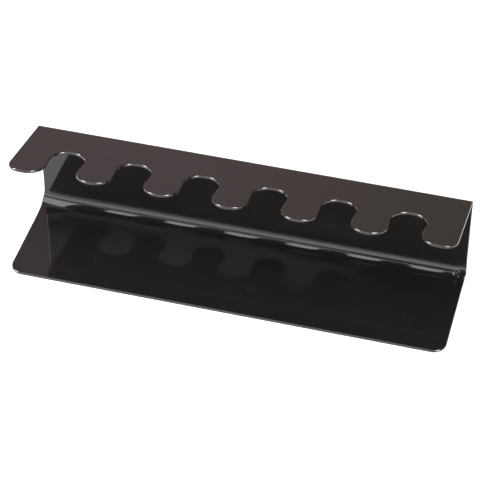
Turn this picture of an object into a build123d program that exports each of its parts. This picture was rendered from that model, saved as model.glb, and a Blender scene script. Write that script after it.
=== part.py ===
from build123d import *
import os
from math import acos, atan2, cos, hypot, radians, sin, sqrt

# Wall cue rack: one folded sheet that holds six cue butts, with the screws and cup washers that hold it up.
#
# Millimetres. X runs along the rack, -Y points out into the room, +Z is up.
# The origin is on the wall plane, on the axis of the middle wall screw.

# Folded sheet
length = 400.0              # along X, end to end
sheet = 2.7                 # thickness
wall_height = 91.0          # up the wall, from outer bottom corner to outer top corner
base_depth = 104.5          # wall plane to the front edge of the base
top_depth = 92.0            # outer top corner to the finger tips, along the slope
top_rise = 13.6             # degrees by which the notched top climbs towards its front
base_bend = 11.0            # inner radius of the bend between wall plate and base
top_bend = 4.0              # inner radius of the bend between wall plate and top
base_corner = 12.0          # radius of the two front corners of the base
end_corner = 13.0           # radius of the outer corners of the two end fingers
arris = 0.7                 # rounding along both rims of the cut edges

# Bending squeezes the sheet out sideways: how far each fold swells past the straight ends, and along itself
base_swell = (1.0, 4.0)
top_swell = (0.7, 2.0)

# Cue notches: the notch ends and the finger tips are arcs of one radius, joined by tangent lines
cues = 6
notch_radius = 16.0
notch_depth = 48.0          # finger tips to the back of a notch

# Wall screws
screw_line = 70.0           # height above the underside of the base
screw_spacing = 150.0
screw_hole = 4.5            # diameter through the sheet
screw_length = 20.0         # from the flush head to the point
thread_diameter = 4.0
thread_gap = 0.2            # from the wall plane to the first thread
neck_diameter = 3.0         # plain part under the head
head_diameter = 8.0         # 90 degree countersunk
point_length = 3.5
point_diameter = 0.4
recess_span = 4.6           # cross recess in the head
recess_width = 1.0
recess_depth = 1.4

# Cup washers under the screw heads
washer_diameter = 10.0
washer_thickness = 2.2
washer_bore = 4.2
washer_round = 1.0          # rounding of the outer front edge

base_z = -screw_line
top_z = base_z + wall_height
rise = radians(top_rise)
pitch = (length - 2 * notch_radius) / cues
notch_xs = [pitch * (i - (cues - 1) / 2) for i in range(cues)]
washer_face = -sheet - washer_thickness
screws = {"left": -screw_spacing, "middle": 0.0, "right": screw_spacing}

# Middle of the sheet halfway round each fold, as (y, z), and the angle at which the fold faces there
base_axis = (-base_bend - sheet, base_z + base_bend + sheet)
top_turn = radians(90 - top_rise) / 2
top_axis = (-top_bend - sheet, top_z - (top_bend + sheet) * sin(top_turn) / cos(top_turn))


def save(piece, name):
    """Label one finished piece and write it."""
    piece.label = name
    export_step(piece, f"parts/{name}.step")


def facing_room(x, y):
    """A plane square to a screw's axis at this place, facing the room."""
    return Plane(origin=(x, y, 0), x_dir=(1, 0, 0), z_dir=(0, -1, 0))


def fold_end(x, axis, bend, angle):
    """A plane on the end of a fold: X along the rack, Y out from the fold's axis, Z along the fold's arc."""
    middle = bend + sheet / 2
    origin = (x, axis[0] + middle * cos(angle), axis[1] + middle * sin(angle))
    return Plane(origin=origin, x_dir=(1, 0, 0), z_dir=(0, -sin(angle), cos(angle)))


os.makedirs("parts", exist_ok=True)

# One notch in the plane of the top: x along the rack, y back along the slope from the finger tips.
# Its outline reaches the centre lines of the two fingers beside it.
half_pitch = pitch / 2
end_y = notch_depth - notch_radius
across = end_y - notch_radius
lean = atan2(across, half_pitch) - acos(2 * notch_radius / hypot(across, half_pitch))
tangent_x = notch_radius * cos(lean)
tangent_y = notch_radius * sin(lean)
diagonal = notch_radius * sqrt(0.5)

with BuildSketch() as notch:
    with BuildLine():
        ThreePointArc(
            (-tangent_x, end_y - tangent_y),
            (0, notch_depth),
            (tangent_x, end_y - tangent_y),
        )
        Line((-half_pitch, -notch_radius), (half_pitch, -notch_radius))
        for side in (-1, 1):
            finger_x = side * half_pitch
            side_point = (finger_x - side * tangent_x, notch_radius + tangent_y)
            ThreePointArc((finger_x, 0), (finger_x - side * diagonal, notch_radius - diagonal), side_point)
            Line(side_point, (side * tangent_x, end_y - tangent_y))
            Line((finger_x, -notch_radius), (finger_x, 0))
    make_face()

# A fold's swollen end is half of a lens that keeps just inside the sheet's thickness.
with BuildPart() as base_lens:
    Sphere(radius=1)
    scale(by=(base_swell[0], 0.36 * sheet, base_swell[1]))

with BuildPart() as top_lens:
    Sphere(radius=1)
    scale(by=(top_swell[0], 0.36 * sheet, top_swell[1]))

folds = [
    (base_lens, base_axis, base_bend, radians(-45)),
    (top_lens, top_axis, top_bend, top_turn),
]

# The rack is one strip of sheet, folded twice. Its base is square to the wall plate.
top_front = (-top_depth * cos(rise), top_z + top_depth * sin(rise))
top_plane = Plane(origin=(0, *top_front), x_dir=(1, 0, 0), z_dir=(0, sin(rise), cos(rise)))

with BuildPart() as rack_body:
    with BuildSketch(Plane.YZ.offset(-length / 2)):
        with BuildLine():
            FilletPolyline(
                (-base_depth, base_z),
                (0, base_z),
                (0, top_z),
                top_front,
                radius=[base_bend + sheet, top_bend + sheet],
            )
            offset(amount=sheet, side=Side.LEFT)
        make_face()
    extrude(amount=length)
    with BuildSketch(top_plane):
        with Locations(*[(x, 0) for x in notch_xs]):
            add(notch.sketch)
    extrude(amount=-2 * sheet, both=True, mode=Mode.SUBTRACT)
    # The four outer corners: two on the base, two on the end fingers
    corners = rack_body.edges().filter_by(lambda edge: abs(edge.length - sheet) < 0.01)
    corners = corners.filter_by(lambda edge: abs(abs(edge.center().X) - length / 2) < 0.01)
    base_corners = corners.filter_by(Axis.Z)
    end_corners = corners.filter_by(lambda edge: edge.center().Z > 0)
    fillet(base_corners, radius=base_corner)
    fillet(end_corners, radius=end_corner)
    # A rim is where a broad face of the sheet meets a cut edge, so only one broad face has it.
    broad_faces = rack_body.faces().filter_by(lambda face: face.area > 1.5 * sheet * length)
    broad_edges = broad_faces.edges()
    rims = broad_edges.filter_by(lambda edge: sum(edge.is_same(other) for other in broad_edges) == 1)
    fillet(rims, radius=arris)
    # Swollen ends of the folds
    for lens, axis, bend, angle in folds:
        with Locations(*[fold_end(x, axis, bend, angle) for x in (-length / 2, length / 2)]):
            add(lens.part)
    # Screw holes
    with Locations(*[facing_room(x, -sheet) for x in screws.values()]):
        Hole(radius=screw_hole / 2, depth=sheet)

save(rack_body.part, "rack_body")

for place, x in screws.items():
    # The washer is a low cup with a seat for the screw's cone.
    with BuildPart() as washer:
        with BuildSketch(facing_room(x, -sheet)):
            Circle(washer_diameter / 2)
        extrude(amount=washer_thickness)
        fillet(washer.edges().sort_by(Axis.Y)[0], radius=washer_round)
        with Locations(facing_room(x, washer_face)):
            CounterSinkHole(
                radius=washer_bore / 2,
                counter_sink_radius=head_diameter / 2,
                depth=washer_thickness,
                counter_sink_angle=90,
            )
    save(washer.part, f"{place}_cup_washer")

    # The screw's outline turns about its axis: flush head, cone, plain neck, thread and point.
    cone_end = (head_diameter - neck_diameter) / 2
    thread_from = thread_gap - washer_face
    with BuildPart() as screw:
        with BuildSketch(Plane(origin=(x, washer_face, 0), x_dir=(1, 0, 0), z_dir=(0, 0, 1))):
            with BuildLine():
                Polyline(
                    (0, 0),
                    (head_diameter / 2, 0),
                    (neck_diameter / 2, cone_end),
                    (neck_diameter / 2, thread_from),
                    (thread_diameter / 2, thread_from),
                    (thread_diameter / 2, screw_length - point_length),
                    (point_diameter / 2, screw_length),
                    (0, screw_length),
                    close=True,
                )
            make_face()
        revolve(axis=Axis((x, 0, 0), (0, 1, 0)))
        with BuildSketch(facing_room(x, washer_face)):
            Rectangle(recess_span, recess_width)
            Rectangle(recess_width, recess_span)
        extrude(amount=-recess_depth, mode=Mode.SUBTRACT)
    save(screw.part, f"{place}_wall_screw")
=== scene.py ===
"""Looks of the wall cue rack: a folded sheet of glossy black acrylic, its wall screws and cup washers.

Metres, in the CAD frame: X along the rack, -Y out into the room, +Z up, the origin on the wall plane at
the middle screw. The rack stands on its base on a pale floor.
"""
from math import acos, atan2, cos, degrees, hypot, pi, radians, sin, sqrt

import bmesh
import bpy
import numpy as np
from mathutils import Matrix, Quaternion, Vector
from mathutils.geometry import delaunay_2d_cdt

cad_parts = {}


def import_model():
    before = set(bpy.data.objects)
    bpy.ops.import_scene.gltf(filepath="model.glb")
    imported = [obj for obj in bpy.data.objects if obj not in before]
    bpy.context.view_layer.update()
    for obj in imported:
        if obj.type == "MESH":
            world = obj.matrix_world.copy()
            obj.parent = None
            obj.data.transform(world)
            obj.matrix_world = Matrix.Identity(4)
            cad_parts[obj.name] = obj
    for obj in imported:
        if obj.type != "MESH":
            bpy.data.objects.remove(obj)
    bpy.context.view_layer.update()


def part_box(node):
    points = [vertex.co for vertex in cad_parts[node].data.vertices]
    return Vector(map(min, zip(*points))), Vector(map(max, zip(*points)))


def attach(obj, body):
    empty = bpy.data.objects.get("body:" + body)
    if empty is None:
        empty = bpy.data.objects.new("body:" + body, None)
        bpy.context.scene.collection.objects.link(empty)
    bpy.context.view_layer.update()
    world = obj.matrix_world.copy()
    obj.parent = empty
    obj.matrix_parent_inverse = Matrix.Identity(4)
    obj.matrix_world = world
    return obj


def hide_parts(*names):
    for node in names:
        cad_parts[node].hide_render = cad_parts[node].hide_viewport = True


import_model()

MM = 0.001

# ---------------------------------------------------------------- sizes, as in the CAD model
low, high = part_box("rack_body")
base_swell = 1.0 * MM                   # how far the fold ends stand out past the straight ends
top_swell = 0.7 * MM
length = high.x - low.x - 2 * base_swell
sheet = 2.7 * MM
base_depth = -low.y
base_z = low.z
wall_height = 91 * MM
top_depth = 92 * MM
rise = radians(13.6)
base_bend = 11 * MM + sheet             # outer radii of the two folds
top_bend = 4 * MM + sheet
base_corner = 12 * MM
end_corner = 13 * MM
cues = 6
notch_radius = 16 * MM
notch_depth = 48 * MM
arris = 0.7 * MM
screw_hole = 4.5 * MM
washer_face = -sheet - 2.2 * MM         # front of the washers and the flush screw heads
screw_xs = {"left": -150 * MM, "middle": 0.0, "right": 150 * MM}

# ---------------------------------------------------------------- small helpers


def add_object(name, mesh, *materials):
    """A new object in the scene from a mesh, with its materials."""
    piece = bpy.data.objects.new(name, mesh)
    bpy.context.scene.collection.objects.link(piece)
    for material in materials:
        mesh.materials.append(material)
    return piece


class Nodes:
    """Short calls for building one node tree."""

    def __init__(self, tree):
        self.tree = tree
        tree.nodes.clear()

    def add(self, kind, inputs=None, **settings):
        node = self.tree.nodes.new(kind)
        for key, value in settings.items():
            setattr(node, key, value)
        for key, value in (inputs or {}).items():
            if isinstance(value, bpy.types.NodeSocket):
                self.tree.links.new(value, node.inputs[key])
            else:
                node.inputs[key].default_value = value
        return node

    def math(self, operation, a, b):
        return self.add("ShaderNodeMath", {0: a, 1: b}, operation=operation).outputs[0]

    def noise(self, where, scale, detail=2.0, roughness=0.5, distortion=0.0):
        node = self.add("ShaderNodeTexNoise", {
            "Vector": where, "Scale": scale, "Detail": detail,
            "Roughness": roughness, "Distortion": distortion})
        return node.outputs["Fac"]

    def fit(self, value, low, high, to_low=0.0, to_high=1.0, smooth=False):
        """Value moved from low..high to to_low..to_high, held at both ends."""
        node = self.add("ShaderNodeMapRange", {
            "Value": value, "From Min": low, "From Max": high, "To Min": to_low, "To Max": to_high})
        if smooth:
            node.interpolation_type = "SMOOTHSTEP"
        return node.outputs["Result"]

    def mix(self, factor, a, b):
        node = self.add("ShaderNodeMix", data_type="RGBA")
        for socket, value in ((node.inputs[0], factor), (node.inputs[6], a), (node.inputs[7], b)):
            if isinstance(value, bpy.types.NodeSocket):
                self.tree.links.new(value, socket)
            else:
                socket.default_value = value
        return node.outputs[2]

    def place(self, scale=(1, 1, 1)):
        """Object coordinates in metres, stretched by scale."""
        here = self.add("ShaderNodeTexCoord").outputs["Object"]
        return self.add("ShaderNodeMapping", {"Vector": here, "Scale": scale}).outputs[0]

    def bump(self, height, distance, normal=None):
        inputs = {"Height": height, "Distance": distance}
        if normal is not None:
            inputs["Normal"] = normal
        return self.add("ShaderNodeBump", inputs).outputs[0]


def new_material(name):
    material = bpy.data.materials.new(name)
    material.use_nodes = True
    return material, Nodes(material.node_tree)


def finish_material(nodes, inputs):
    shader = nodes.add("ShaderNodeBsdfPrincipled", inputs)
    nodes.add("ShaderNodeOutputMaterial", {"Surface": shader.outputs[0]})


# ---------------------------------------------------------------- materials


def acrylic():
    """Solid black cast acrylic: mirror gloss with faint haze, wipes and specks, and finely sawn edges."""
    material, n = new_material("black_acrylic")
    where = n.place()
    cut = n.add("ShaderNodeAttribute", attribute_name="cut_edge").outputs["Fac"]
    haze = n.fit(n.noise(where, 9, 3, 0.6, 0.4), 0.3, 0.7)
    wipes = n.fit(n.noise(n.place((6, 90, 90)), 14, 4, 0.6, 0.3), 0.45, 0.75)
    specks = n.fit(n.noise(where, 2600, 1, 0.5), 0.74, 0.8)
    roughness = n.math("ADD", n.math("MULTIPLY", haze, 0.02), n.math("MULTIPLY", wipes, 0.03))
    roughness = n.math("ADD", roughness, 0.05)
    roughness = n.math("ADD", roughness, n.math("MULTIPLY", specks, 0.12))
    saw = n.noise(n.place((900, 900, 120)), 1, 3, 0.6)
    edge_roughness = n.fit(saw, 0.3, 0.7, 0.05, 0.1)
    rough = n.math("ADD", roughness, n.math("MULTIPLY", cut, n.math("SUBTRACT", edge_roughness, roughness)))
    face_colour = n.mix(haze, (0.0105, 0.0099, 0.0093, 1), (0.0125, 0.0118, 0.0111, 1))
    edge_colour = n.mix(n.fit(saw, 0.3, 0.7), (0.008, 0.0075, 0.007, 1), (0.014, 0.0135, 0.013, 1))
    colour = n.mix(cut, face_colour, edge_colour)
    ripple = n.bump(n.noise(where, 28, 1, 0.4), 0.00012)
    grain = n.bump(n.math("MULTIPLY", saw, cut), 0.00004, ripple)
    finish_material(n, {
        "Base Color": colour, "Roughness": rough, "IOR": 1.49, "Normal": grain})
    return material


def nylon():
    """Black moulded nylon with a fine spark-eroded texture, a little scuffed in scattered patches."""
    material, n = new_material("washer_nylon")
    where = n.place()
    scuff = n.fit(n.noise(where, 500, 4, 0.6, 0.5), 0.5, 0.75)
    grain = n.noise(where, 5200, 2, 0.6)
    colour = n.mix(scuff, (0.014, 0.014, 0.0145, 1), (0.03, 0.03, 0.031, 1))
    finish_material(n, {
        "Base Color": colour, "Roughness": n.fit(scuff, 0, 1, 0.42, 0.58), "IOR": 1.53,
        "Normal": n.bump(grain, 0.00002)})
    return material


def plating():
    """Black-plated steel: a thin satin coat with a dull bloom and small worn grey specks."""
    material, n = new_material("black_plating")
    where = n.place()
    bloom = n.fit(n.noise(where, 900, 4, 0.6, 0.6), 0.35, 0.7)
    worn = n.fit(n.noise(where, 1400, 3, 0.6, 0.8), 0.62, 0.78, 0.0, 0.5)
    colour = n.mix(bloom, (0.02, 0.02, 0.021, 1), (0.038, 0.037, 0.036, 1))
    colour = n.mix(worn, colour, (0.25, 0.25, 0.25, 1))
    finish_material(n, {
        "Base Color": colour, "Metallic": n.fit(worn, 0, 1, 0.55, 0.9),
        "Roughness": n.fit(bloom, 0, 1, 0.3, 0.46),
        "Normal": n.bump(n.noise(where, 4000, 2, 0.5), 0.000008)})
    return material


# ---------------------------------------------------------------- the folded sheet
# The sheet is laid out flat, as x along the rack and s along its outer face from the base's front edge
# to the finger tips, and then folded. d is the depth from the outer face towards the inner one.

turn = pi / 2 - rise
top_tangent = top_bend * sin(turn / 2) / cos(turn / 2)
runs = [
    (base_depth - base_bend, 0.0),
    (base_bend * pi / 2, pi / 2),
    (wall_height - base_bend - top_tangent, 0.0),
    (top_bend * turn, turn),
    (top_depth - top_tangent, 0.0),
]
starts = np.cumsum([0.0] + [run for run, _ in runs])
strip = starts[-1]
pitch = (length - 2 * notch_radius) / cues
folds = [
    ((starts[1] + starts[2]) / 2, base_bend, base_swell),
    ((starts[3] + starts[4]) / 2, top_bend, top_swell),
]


def hump(value, middle, spread):
    """1 at the middle, falling away smoothly on both sides."""
    return np.exp(-(((value - middle) / spread) ** 2))


def inner_lift(x, s):
    """How far the lower fold's inner face stands off a plain arc: a little all along, more at its ends."""

    def round_fold(degrees_from_wall):
        return starts[2] - base_bend * radians(degrees_from_wall)

    from_left = x + length / 2
    from_right = length / 2 - x
    level_end = 5 * MM                  # the right-hand rise has its full height this near the end
    left_fade = np.exp(-from_left / (14 * MM))
    right_fade = hump(np.maximum(from_right, level_end), level_end, 3.2 * MM)
    lift = 0.3 * MM * hump(s, round_fold(50), 6 * MM)
    lift += 1.1 * MM * hump(s, round_fold(80), 8 * MM) * left_fade
    lift += 1.35 * MM * hump(s, round_fold(58), 7.5 * MM) * right_fade
    return lift


def folded(x, s, d):
    """The points of the folded sheet for arrays of x, s and d."""
    y = np.full_like(s, -base_depth)
    z = np.full_like(s, base_z)
    heading = np.zeros_like(s)
    for i, (run, turned) in enumerate(runs):
        step = s - starts[i]
        if i > 0:
            step = np.maximum(step, 0)
        if i < len(runs) - 1:
            step = np.minimum(step, run)
        if turned:
            radius = run / turned
            angle = heading + step / radius
            y = y + radius * (np.sin(angle) - np.sin(heading))
            z = z + radius * (np.cos(heading) - np.cos(angle))
            heading = angle
        else:
            y = y + step * np.cos(heading)
            z = z + step * np.sin(heading)
    # Bending squeezes the inner face, so it swells at the ends of each fold, and the outer face hardly does.
    reach = 14 * MM
    outer_share = 0.2
    inner_rise = 0.3
    from_end = length / 2 - np.abs(x)
    near_end = np.clip(1 - from_end / reach, 0, 1) ** 2
    for middle, radius, most in folds:
        swell = most * near_end * hump(s, middle, 0.6 * radius)
        x = x + np.sign(x) * swell * (outer_share + (1 - outer_share) * d / sheet)
        d = d + inner_rise * swell * near_end * d / sheet
    d = d + inner_lift(x, s) * d / sheet
    return np.stack([x, y - d * np.sin(heading), z + d * np.cos(heading)], axis=-1)


def folded_normals(x, s, d, flat_normals):
    """Unit normals on the folded sheet of directions given on the flat one."""
    step = 1e-6
    columns = [
        (folded(x + step, s, d) - folded(x - step, s, d)) / (2 * step),
        (folded(x, s + step, d) - folded(x, s - step, d)) / (2 * step),
        (folded(x, s, d + step) - folded(x, s, d - step)) / (2 * step),
    ]
    jacobian = np.stack(columns, axis=-1)
    normals = np.linalg.solve(np.swapaxes(jacobian, -1, -2), flat_normals[..., None])[..., 0]
    return normals / np.linalg.norm(normals, axis=-1, keepdims=True)


def arc(centre, radius, start, end, outward=1):
    """Points (x, s) on an arc, in degrees, with the sheet's outward direction at each."""
    degrees_apart = 3
    count = max(2, int(abs(end - start) / degrees_apart) + 1)
    points = []
    for angle in np.radians(np.linspace(start, end, count)):
        direction = np.array([cos(angle), sin(angle)])
        points.append((*(np.array(centre) + radius * direction), *(outward * direction)))
    return points


def edge(start, end, outward, stops=()):
    """Points along a straight edge at the given stops, or evenly, without its two ends."""
    start, end = np.array(start), np.array(end)
    apart = 6 * MM
    if not len(stops):
        count = int(np.linalg.norm(end - start) / apart)
        stops = (np.arange(count - 1) + 1) / max(count, 1)
    return [(*(start + (end - start) * t), *outward) for t in stops]


def side_rows():
    """Values of s at which the two straight ends have a point: close together round each fold."""
    fold_rows = 24
    flat_row = 8 * MM
    rows = []
    for i, (run, turned) in enumerate(runs):
        count = fold_rows if turned else max(1, int(run / flat_row))
        rows += list(starts[i] + run * np.arange(count) / count)
    return np.array(rows)


def sheet_outline():
    """The cut outline of the flat sheet, anticlockwise: rows of x, s and outward x, s."""
    half = length / 2
    clear = 2 * MM                      # between a rounded corner and the first row beside it
    rows = side_rows()
    rows = rows[(rows > base_corner + clear) & (rows < strip - end_corner - clear)]
    side = [(s - base_corner) / (strip - end_corner - base_corner) for s in rows]
    across = notch_depth - 2 * notch_radius
    lean = degrees(atan2(across, pitch / 2) - acos(2 * notch_radius / hypot(across, pitch / 2)))
    tip_s = strip - notch_radius
    rear_s = strip - notch_depth + notch_radius

    outline = edge((-half + base_corner, 0), (half - base_corner, 0), (0, -1))
    outline += arc((half - base_corner, base_corner), base_corner, -90, 0)
    outline += edge((half, base_corner), (half, strip - end_corner), (1, 0), side)
    outline += arc((half - end_corner, strip - end_corner), end_corner, 0, 90)
    for i in reversed(range(cues)):
        notch_x = pitch * (i - (cues - 1) / 2)
        outline += arc((notch_x + pitch / 2, tip_s), notch_radius, 90, 180 + lean)
        outline += arc((notch_x, rear_s), notch_radius, lean, -180 - lean, outward=-1)
        outline += arc((notch_x - pitch / 2, tip_s), notch_radius, -lean, 90)[:-1]
    outline += [(-half + notch_radius, strip, 0, 1)]
    outline += arc((-half + end_corner, strip - end_corner), end_corner, 90, 180)
    side_down = [1 - t for t in reversed(side)]
    outline += edge((-half, strip - end_corner), (-half, base_corner), (-1, 0), side_down)
    outline += arc((-half + base_corner, base_corner), base_corner, 180, 270)
    return np.array(outline)


def inner_points(ring):
    """A grid of points on the broad face, clear of its rim. Columns stand closer at the ends."""
    even_columns = 67
    left_out = 3                        # even columns at each end, where the close ones stand instead
    rim_gap = 2.2 * MM
    columns = np.linspace(-length / 2, length / 2, even_columns)[left_out:-left_out]
    near_end = length / 2 - np.arange(2.6, 14, 0.8) * MM
    columns = np.concatenate([-near_end, columns, near_end[::-1]])
    grid = np.array([(x, s) for s in side_rows()[1:] for x in columns])
    crossings = np.zeros(len(grid), int)
    for (x0, s0), (x1, s1) in zip(ring, np.roll(ring, -1, axis=0)):
        spans = (grid[:, 1] < s0) != (grid[:, 1] < s1)
        if spans.any():
            hit_x = x0 + (grid[spans, 1] - s0) * (x1 - x0) / (s1 - s0)
            crossings[spans] += grid[spans, 0] < hit_x
    grid = grid[crossings % 2 == 1]
    gaps = np.hypot(grid[:, None, 0] - ring[None, :, 0], grid[:, None, 1] - ring[None, :, 1])
    return grid[gaps.min(axis=1) > rim_gap]


def hole_rings():
    """The three screw holes on the flat sheet, each as points and directions out of its centre."""
    around = np.radians(np.arange(0, 360, 10))
    outward = np.column_stack([np.cos(around), np.sin(around)])
    hole_s = starts[2] - base_z - base_bend
    return [(np.array([x, hole_s]) + screw_hole / 2 * outward, outward) for x in screw_xs.values()]


def broad_face(ring, holes):
    """Points and triangles of a broad face, and the indices of its rim's and its holes' points.

    Thin triangles just inside a hole's rim stay, as their middles lie past the cut-off used here."""
    cut_off = 0.9 * screw_hole / 2
    grid = inner_points(ring)
    for hole, _ in holes:
        grid = grid[np.hypot(*(grid - hole.mean(axis=0)).T) > screw_hole]
    blocks = [ring] + [hole for hole, _ in holes] + [grid]
    points = np.vstack(blocks)
    firsts = np.cumsum([0] + [len(block) for block in blocks])
    loops = [list(range(firsts[i], firsts[i + 1])) for i in range(len(blocks) - 1)]
    hole_edges = [(loop[i - 1], loop[i]) for loop in loops[1:] for i in range(len(loop))]
    found = delaunay_2d_cdt([Vector(p) for p in points], hole_edges, [loops[0]], 1, 1e-9)
    flat = np.array(found[0])
    new_index = {source: i for i, sources in enumerate(found[3]) for source in sources}
    triangles = np.array(found[2])
    middles = flat[triangles].mean(axis=1)
    for hole, _ in holes:
        off = np.hypot(*(middles - hole.mean(axis=0)).T)
        keep = off > cut_off
        triangles, middles = triangles[keep], middles[keep]
    return flat, triangles, [[new_index[i] for i in loop] for loop in loops]


def sheet_mesh():
    """The whole sheet as one mesh with exact normals, and how much of a cut edge each point is."""
    outline = sheet_outline()
    rim, outward = outline[:, :2], outline[:, 2:]
    holes = hole_rings()
    flat, triangles, loops = broad_face(rim - arris * outward, holes)
    ring_index = loops[0]
    count = len(ring_index)

    xs, ss, ds, normals, cut = [], [], [], [], []
    faces = []

    def add(x, s, d, flat_normals, how_cut):
        first = sum(len(block) for block in xs)
        xs.append(x)
        ss.append(s)
        ds.append(np.full_like(x, d))
        normals.append(flat_normals)
        cut.append(np.full_like(x, how_cut))
        return first

    whole = len(flat)
    for depth, facing in ((0.0, -1.0), (sheet, 1.0)):
        first = add(flat[:, 0], flat[:, 1], depth, np.tile([0, 0, facing], (whole, 1)), 0.0)
        for corners in triangles:
            faces.append(tuple(first + i for i in (corners if facing > 0 else corners[::-1])))
    # The rounded rims turn through 90 degrees each, in equal steps, with the flat cut edge between them.
    steps = 5
    outer_turn = np.arange(1, steps + 1) * 90 // steps
    inner_turn = outer_turn + 90 - outer_turn[0]
    rings = [ring_index]
    for phi in np.radians(np.concatenate([outer_turn, inner_turn])):
        inset = arris * (1 - sin(phi))
        depth = arris * (1 - cos(phi))
        if len(rings) > steps:
            depth = sheet - arris * (1 + cos(phi))
        place = rim - inset * outward
        facing = np.column_stack([outward * sin(phi), np.full(count, -cos(phi))])
        first = add(place[:, 0], place[:, 1], depth, facing, sin(phi) ** 2)
        rings.append([first + i for i in range(count)])
    rings.append([whole + i for i in ring_index])

    def join(lower, upper):
        for i in range(len(lower)):
            faces.append((lower[i - 1], lower[i], upper[i], upper[i - 1]))

    for lower, upper in zip(rings, rings[1:]):
        join(lower, upper)
    for hole, from_middle in holes:
        walls = []
        for depth in (sheet, 0.0):
            facing = np.column_stack([-from_middle, np.zeros(len(hole))])
            first = add(hole[:, 0], hole[:, 1], depth, facing, 1.0)
            walls.append([first + i for i in range(len(hole))])
        join(*walls)

    x, s, d = (np.concatenate(blocks) for blocks in (xs, ss, ds))
    mesh = bpy.data.meshes.new("folded_sheet")
    mesh.from_pydata(folded(x, s, d).tolist(), [], faces)
    mesh.polygons.foreach_set("use_smooth", [True] * len(mesh.polygons))
    attribute = mesh.attributes.new("cut_edge", "FLOAT", "POINT")
    attribute.data.foreach_set("value", np.concatenate(cut))
    mesh.normals_split_custom_set_from_vertices(folded_normals(x, s, d, np.vstack(normals)).tolist())
    return mesh


# ---------------------------------------------------------------- screws and cup washers


def turned_mesh(name, outline, segments=64, twist=None):
    """A mesh turned about the Y axis.

    outline is (radius, y) from front to back, joined up if its two ends are the same.
    twist(y, angles) gives what is added to the radius at each angle round the axis."""
    angles = 2 * pi * np.arange(segments) / segments
    vertices, faces, rows = [], [], []
    looped = outline[0] == outline[-1]
    for radius, y in outline[:-1] if looped else outline:
        first = len(vertices)
        if radius == 0:
            rows.append([first])
            vertices.append((0, y, 0))
            continue
        rows.append(range(first, first + segments))
        radii = radius + (twist(y, angles) if twist else 0 * angles)
        vertices += [(r * cos(a), y, r * sin(a)) for r, a in zip(radii, angles)]
    if looped:
        rows.append(rows[0])
    for front, back in zip(rows, rows[1:]):
        for i in range(segments):
            j = (i + 1) % segments
            corners = [front[i % len(front)], front[j % len(front)]]
            corners += [back[j % len(back)], back[i % len(back)]]
            faces.append([c for k, c in enumerate(corners) if c not in corners[:k]])
    mesh = bpy.data.meshes.new(name)
    mesh.from_pydata(vertices, [], faces)
    smooth_with_creases(mesh)
    return mesh


def smooth_with_creases(mesh, angle=32):
    """Consistent outward faces, smooth except where they meet at more than this many degrees."""
    shape = bmesh.new()
    shape.from_mesh(mesh)
    bmesh.ops.recalc_face_normals(shape, faces=shape.faces)
    shape.to_mesh(mesh)
    shape.free()
    mesh.polygons.foreach_set("use_smooth", [True] * len(mesh.polygons))
    mesh.set_sharp_from_angle(angle=radians(angle))


def quarter(centre, radius, start, end, steps=8):
    """Points (radius, y) of an arc on a turned outline, in degrees."""
    angles = np.radians(np.linspace(start, end, steps))
    return [(centre[0] + radius * cos(a), centre[1] + radius * sin(a)) for a in angles]


def washer_mesh():
    """A cup washer: a countersunk seat, a rounded front edge and a slightly rounded foot."""
    outer, bore, seat = 5 * MM, 2.1 * MM, 3.93 * MM
    foot = -sheet
    lip = 0.07 * MM
    front_round = 1 * MM
    foot_round = 0.2 * MM
    outline = [(bore, foot), (bore, washer_face + seat - bore)]
    outline += [(seat, washer_face), (seat + lip, washer_face)]
    outline += quarter((outer - front_round, washer_face + front_round), front_round, -90, 0)[1:]
    outline += quarter((outer - foot_round, foot - foot_round), foot_round, 0, 90, 4)
    return turned_mesh("cup_washer", outline + outline[:1], segments=96)


def screw_mesh():
    """A countersunk wood screw: flat head, tapered cross recess, plain neck, thread and gimlet point."""
    head, neck, crest, core = 3.9 * MM, 1.5 * MM, 2 * MM, 1.3 * MM
    rim = 0.12 * MM
    thread_start = 0.2 * MM
    tip = washer_face + 20 * MM
    point = tip - 5 * MM                # where the slimming towards the tip begins
    blunt = 0.1 * MM                    # core radius left at the tip
    row_gap = 0.08 * MM
    thread_pitch = 1.8 * MM
    tooth_width = 0.3

    def thread(y, angles):
        if y < thread_start:
            return 0 * angles
        phase = (y / thread_pitch - angles / (2 * pi)) % 1
        tooth = np.clip(1 - np.abs(phase - 0.5) / tooth_width, 0, 1)
        fade = min(1, (y - thread_start) / (0.8 * thread_pitch)) * min(1, (tip - y) / (tip - point))
        return (crest - core) * tooth * fade

    outline = [(0, washer_face), (head - rim, washer_face)]
    outline += quarter((head - rim, washer_face + rim), rim, -90, 0, 4)[1:]
    # The cone runs out into the neck in a short curve.
    cone_end = washer_face + head - neck
    outline += [(neck + 0.5 * MM, cone_end - 0.5 * MM)]
    outline += [(neck + 0.15 * MM, cone_end), (neck, cone_end + 0.6 * MM)]
    outline += [(neck, thread_start - 0.4 * MM), (core, thread_start)]
    for y in np.arange(thread_start, tip, row_gap)[1:]:
        slim = sqrt(max(0.0, min(1.0, (tip - y) / (tip - point))))
        outline.append((core * slim + blunt * (1 - slim), y))
    outline.append((0, tip))
    mesh = turned_mesh("wall_screw", outline, segments=48, twist=thread)
    return cut_recess(mesh)


def cut_recess(mesh):
    """The screw with a tapered cross cut into the middle of its head."""
    blank = bpy.data.objects.new("blank", mesh)
    cutters = [bpy.data.objects.new("cutter", wing_mesh(turned)) for turned in (False, True)]
    for piece in (blank, *cutters):
        bpy.context.scene.collection.objects.link(piece)
    for cutter in cutters:
        cut = blank.modifiers.new("cut", "BOOLEAN")
        cut.operation = "DIFFERENCE"
        cut.solver = "EXACT"
        cut.object = cutter
    bpy.context.view_layer.update()
    finished = bpy.data.meshes.new_from_object(blank.evaluated_get(bpy.context.evaluated_depsgraph_get()))
    for piece in (blank, *cutters):
        bpy.data.objects.remove(piece)
    smooth_with_creases(finished)
    return finished


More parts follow.
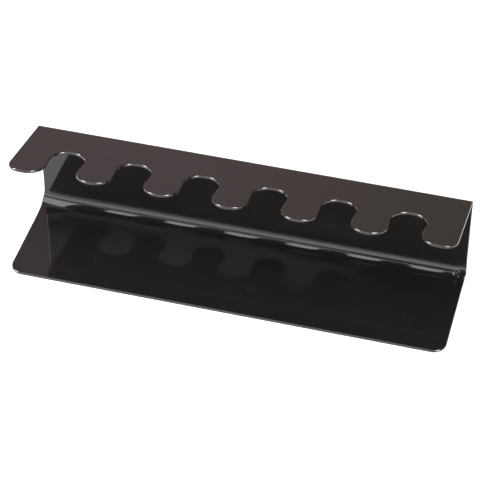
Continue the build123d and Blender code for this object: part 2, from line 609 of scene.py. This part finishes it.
def wing_mesh(turned):
    """A slab that tapers with depth: one of the two that make a cross recess."""
    mesh = bpy.data.meshes.new("wing")
    vertices = []
    for half_span, half_width, deep in ((2.45, 0.53, -0.1), (1.15, 0.36, 1.9)):
        for x, z in ((-1, -1), (1, -1), (1, 1), (-1, 1)):
            across = (x * half_span * MM, z * half_width * MM)
            if turned:
                across = (-across[1], across[0])
            vertices.append((across[0], washer_face + deep * MM, across[1]))
    sides = [(i, (i + 1) % 4, (i + 1) % 4 + 4, i + 4) for i in range(4)]
    mesh.from_pydata(vertices, [], [(3, 2, 1, 0), (4, 5, 6, 7)] + sides)
    smooth_with_creases(mesh, 1)
    return mesh


bpy.context.scene.view_settings.view_transform = "Standard"

black_acrylic = acrylic()
body = add_object("folded_sheet", sheet_mesh(), black_acrylic)
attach(body, "root")
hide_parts("rack_body")

washer_nylon = nylon()
black_plating = plating()
washer_shape = washer_mesh()
screw_shape = screw_mesh()
for place, turn_by in (("left", 20), ("middle", -33), ("right", 65)):
    for node, shape, material, slot in (
        (f"{place}_cup_washer", washer_shape, washer_nylon, "washer_plastic"),
        (f"{place}_wall_screw", screw_shape, black_plating, "screw_steel"),
    ):
        piece = add_object("detailed_" + node, shape.copy(), material)
        piece.location.x = screw_xs[place]
        piece.rotation_euler.y = radians(turn_by)
        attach(piece, "root")
        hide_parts(node)

# ---------------------------------------------------------------- floor, light and camera


def floor():
    """A wide pale floor that the base stands on."""
    size = 6.0
    mesh = bpy.data.meshes.new("floor")
    corners = [(-size, -size, base_z), (size, -size, base_z), (size, size, base_z), (-size, size, base_z)]
    mesh.from_pydata(corners, [], [(0, 1, 2, 3)])
    material, n = new_material("pale_floor")
    mottle = n.noise(n.place(), 3, 3, 0.5)
    colour = n.mix(mottle, (0.80, 0.80, 0.79, 1), (0.84, 0.84, 0.83, 1))
    finish_material(n, {
        "Base Color": colour, "Roughness": 0.7, "Emission Color": (1, 1, 1, 1), "Emission Strength": 0.45})
    add_object("floor", mesh, material)


def direction(azimuth, elevation):
    """Unit vector from the rack. Azimuth 0 is straight out into the room (-Y), positive to the right."""
    a, e = radians(azimuth), radians(elevation)
    return Vector((sin(a) * cos(e), -cos(a) * cos(e), sin(e)))


def softbox(name, azimuth, elevation, width, height, radiance, roll=0.0, glint=False):
    """A rectangular area light that faces the rack, turned by roll degrees about the way it faces.

    A glint lights nothing: it is only there to be mirrored in glossy surfaces."""
    distance = 2.6
    lamp = bpy.data.lights.new(name, "AREA")
    lamp.shape = "RECTANGLE"
    lamp.size = width
    lamp.size_y = height
    lamp.energy = radiance * pi * width * height
    light = bpy.data.objects.new(name, lamp)
    bpy.context.scene.collection.objects.link(light)
    towards = direction(azimuth, elevation)
    light.location = distance * towards
    rolled = Quaternion((0, 0, 1), radians(roll))
    light.rotation_euler = (towards.to_track_quat("Z", "Y") @ rolled).to_euler()
    light.visible_camera = False
    light.visible_diffuse = not glint


def world():
    """Dim warm surroundings, brighter and pinker towards the left."""
    surroundings = bpy.data.worlds.new("studio")
    bpy.context.scene.world = surroundings
    surroundings.use_nodes = True
    n = Nodes(surroundings.node_tree)
    way = n.add("ShaderNodeTexCoord").outputs["Generated"]
    parts = n.add("ShaderNodeSeparateXYZ", {0: way}).outputs
    rightwards = n.fit(parts[0], -0.25, -0.03, smooth=True)
    colour = n.mix(rightwards, (0.54, 0.41, 0.42, 1), (0.32, 0.27, 0.22, 1))
    sky = n.add("ShaderNodeBackground", {"Color": colour, "Strength": 1.0})
    n.add("ShaderNodeOutputWorld", {"Surface": sky.outputs[0]})


def camera():
    """A long lens, high on the right."""
    target = Vector((-0.0099, -0.0053, -0.0728))
    distance = 1.8916
    view = bpy.data.cameras.new("camera")
    view.lens = 153.9
    view.clip_start = 0.05
    watcher = bpy.data.objects.new("camera", view)
    bpy.context.scene.collection.objects.link(watcher)
    towards = direction(15.1, 42.58)
    watcher.location = target + distance * towards
    watcher.rotation_euler = towards.to_track_quat("Z", "Y").to_euler()
    bpy.context.scene.camera = watcher


floor()
world()
camera()
softbox("front_softbox", -15, 17.5, 2.4, 1.27, 2.6, -15)
softbox("overhead_softbox", -15, 70.5, 3.2, 2.05, 4.6)
softbox("notch_strip", -19, 42.2, 0.75, 0.075, 4.8, 3.5)
softbox("left_lamp", -61, 25, 1.1, 1.5, 75.0, glint=True)
softbox("right_lamp", 49, 30, 1.1, 1.5, 75.0, glint=True)
